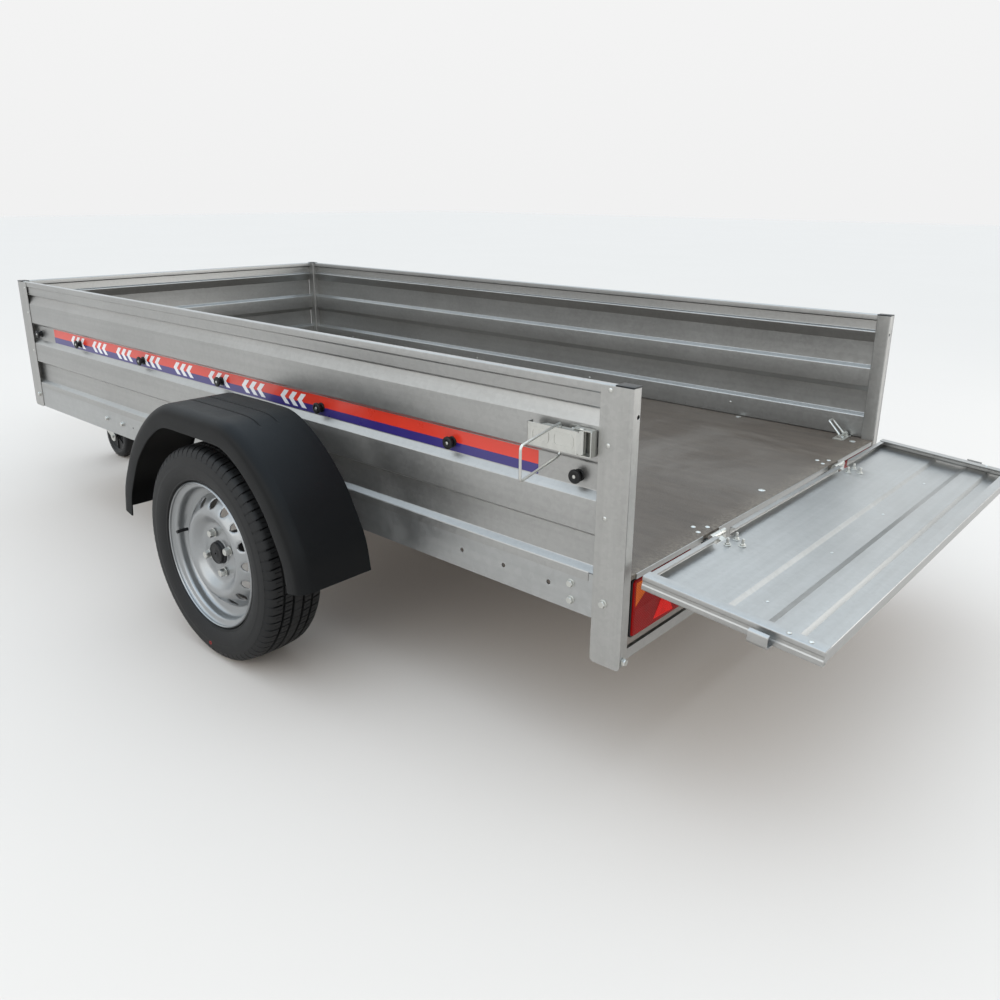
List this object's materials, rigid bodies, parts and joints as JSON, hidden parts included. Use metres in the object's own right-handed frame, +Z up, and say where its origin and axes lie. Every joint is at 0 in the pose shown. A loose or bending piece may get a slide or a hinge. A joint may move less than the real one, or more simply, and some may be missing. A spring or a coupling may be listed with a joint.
{
  "type": "single-axle box trailer",
  "caption": "Low-sided galvanised box trailer with plywood deck, V drawbar, mudguards, jockey wheel and a drop-down tailgate held by over-centre latches.",
  "frame": {"origin": "on the ground under the middle of the whole outline, tailgate let down", "axes": "+X towards the tailgate, -Y towards the left side with the jockey wheel, +Z up"},
  "size_m": [4.1544, 1.86, 0.8025],
  "materials": {
    "galvanised": "hot-dip zinc, light spangle",
    "zinc_plated": "bright zinc plate",
    "rim_silver": "silver lacquer",
    "hub_iron": "black",
    "tyre_rubber": "moulded rubber",
    "black_plastic": "moulded satin",
    "plywood": "phenolic film with wire-mesh imprint",
    "red_lens": "clear red moulding",
    "coupling_zinc": "zinc"
  },
  "bodies": {
    "chassis": {"side_rail_left": "galvanised", "side_rail_right": "galvanised", "crossmembers": "galvanised", "rear_crossmember": "galvanised", "deck_board": "plywood", "bumper_bar": "galvanised", "drawbar_left": "galvanised", "drawbar_right": "galvanised", "coupling_housing": "coupling_zinc", "axle_beam": "galvanised", "mudguard_left": "black_plastic", "mudguard_right": "black_plastic", "mudguard_stays": "galvanised", "side_panel_left": "galvanised", "side_panel_right": "galvanised", "front_panel": "galvanised", "post_front_left": "galvanised", "post_front_right": "galvanised", "post_rear_left": "galvanised", "post_rear_right": "galvanised", "post_caps": "black_plastic", "light_housing_left": "black_plastic", "light_housing_right": "black_plastic", "light_lens_left": "red_lens", "light_lens_right": "red_lens", "latch_bases": "zinc_plated", "jockey_clamp": "coupling_zinc", "jockey_tube": "zinc_plated", "deck_hinge_leaves": "zinc_plated", "lashing_bases": "zinc_plated", "tarp_knobs": "black_plastic", "panel_rivets": "zinc_plated", "frame_bolts": "zinc_plated", "deck_bolts": "zinc_plated"},
    "coupling_lever": {"coupling_handle": "black_plastic"},
    "suspension_left": {"swing_arm_left": "hub_iron"},
    "suspension_right": {"swing_arm_right": "hub_iron"},
    "wheel_left": {"hub_left": "hub_iron", "rim_left": "rim_silver", "tyre_left": "tyre_rubber", "wheel_bolts_left": "zinc_plated"},
    "wheel_right": {"hub_right": "hub_iron", "rim_right": "rim_silver", "tyre_right": "tyre_rubber", "wheel_bolts_right": "zinc_plated"},
    "tailgate": {"gate_sheet": "galvanised", "gate_end_left": "galvanised", "gate_end_right": "galvanised", "gate_hinge_leaves": "zinc_plated", "gate_fasteners": "zinc_plated"},
    "latch_lever_left": {"latch_handle_left": "zinc_plated"},
    "latch_lever_right": {"latch_handle_right": "zinc_plated"},
    "latch_loop_left": {"latch_bail_left": "zinc_plated"},
    "latch_loop_right": {"latch_bail_right": "zinc_plated"},
    "jockey_leg": {"jockey_inner": "zinc_plated"},
    "jockey_caster": {"jockey_fork": "zinc_plated"},
    "jockey_roller": {"jockey_wheel": "black_plastic"},
    "jockey_winder": {"jockey_crank": "zinc_plated"},
    "ring_left": {"lashing_ring_left": "zinc_plated"},
    "ring_right": {"lashing_ring_right": "zinc_plated"}
  },
  "joints": [
    {"name": "tailgate_hinge", "type": "hinge", "parent": "chassis", "child": "tailgate", "pos_m": [1.72377, 0, 0.44], "axis": [0, -1, 0], "range_deg": [0, 94.4]},
    {"name": "coupling_lever_pivot", "type": "hinge", "parent": "chassis", "child": "coupling_lever", "pos_m": [-1.94023, 0, 0.454], "axis": [0, -1, 0], "range_deg": [0, 50]},
    {"name": "suspension_left", "type": "hinge", "parent": "chassis", "child": "suspension_left", "pos_m": [0.54277, -0.7175, 0.306], "axis": [0, -1, 0], "range_deg": [-8, 12], "stiffness_Nm_per_rad": 2200, "springref_deg": -1.7},
    {"name": "wheel_spin_left", "type": "hinge", "parent": "suspension_left", "child": "wheel_left", "pos_m": [0.68777, -0.847, 0.2735], "axis": [0, 1, 0], "continuous": true},
    {"name": "latch_lever_left", "type": "hinge", "parent": "chassis", "child": "latch_lever_left", "pos_m": [1.61277, -0.671, 0.69], "axis": [0, 0, 1], "range_deg": [0, 100]},
    {"name": "latch_loop_left", "type": "hinge", "parent": "latch_lever_left", "child": "latch_loop_left", "pos_m": [1.57077, -0.681, 0.69], "axis": [0, 0, -1], "range_deg": [-81, 95]},
    {"name": "lashing_ring_left", "type": "hinge", "parent": "chassis", "child": "ring_left", "pos_m": [1.62777, -0.604, 0.4495], "axis": [0, -1, 0], "range_deg": [-135, 45]},
    {"name": "suspension_right", "type": "hinge", "parent": "chassis", "child": "suspension_right", "pos_m": [0.54277, 0.7175, 0.306], "axis": [0, -1, 0], "range_deg": [-8, 12], "stiffness_Nm_per_rad": 2200, "springref_deg": -1.7},
    {"name": "wheel_spin_right", "type": "hinge", "parent": "suspension_right", "child": "wheel_right", "pos_m": [0.68777, 0.847, 0.2735], "axis": [0, 1, 0], "continuous": true},
    {"name": "latch_lever_right", "type": "hinge", "parent": "chassis", "child": "latch_lever_right", "pos_m": [1.61277, 0.671, 0.69], "axis": [0, 0, -1], "range_deg": [0, 100]},
    {"name": "latch_loop_right", "type": "hinge", "parent": "latch_lever_right", "child": "latch_loop_right", "pos_m": [1.57077, 0.681, 0.69], "axis": [0, 0, 1], "range_deg": [-81, 95]},
    {"name": "lashing_ring_right", "type": "hinge", "parent": "chassis", "child": "ring_right", "pos_m": [1.62777, 0.604, 0.4495], "axis": [0, -1, 0], "range_deg": [-135, 45]},
    {"name": "jockey_height", "type": "slide", "parent": "chassis", "child": "jockey_leg", "axis": [0, 0, 1], "range_m": [-0.08, 0.1]},
    {"name": "jockey_screw", "type": "hinge", "parent": "chassis", "child": "jockey_winder", "pos_m": [-1.23423, -0.25704, 0.573], "axis": [0, 0, 1], "range_deg": [-5760, 7200]},
    {"name": "jockey_swivel", "type": "hinge", "parent": "jockey_leg", "child": "jockey_caster", "pos_m": [-1.23423, -0.25704, 0.212], "axis": [0, 0, 1], "continuous": true},
    {"name": "jockey_roll", "type": "hinge", "parent": "jockey_caster", "child": "jockey_roller", "pos_m": [-1.17223, -0.25704, 0.095], "axis": [0, 1, 0], "continuous": true}
  ],
  "couplings": [
    {"joint": "jockey_screw", "follows": "jockey_height", "rad_per_m": 1256.6}
  ]
}
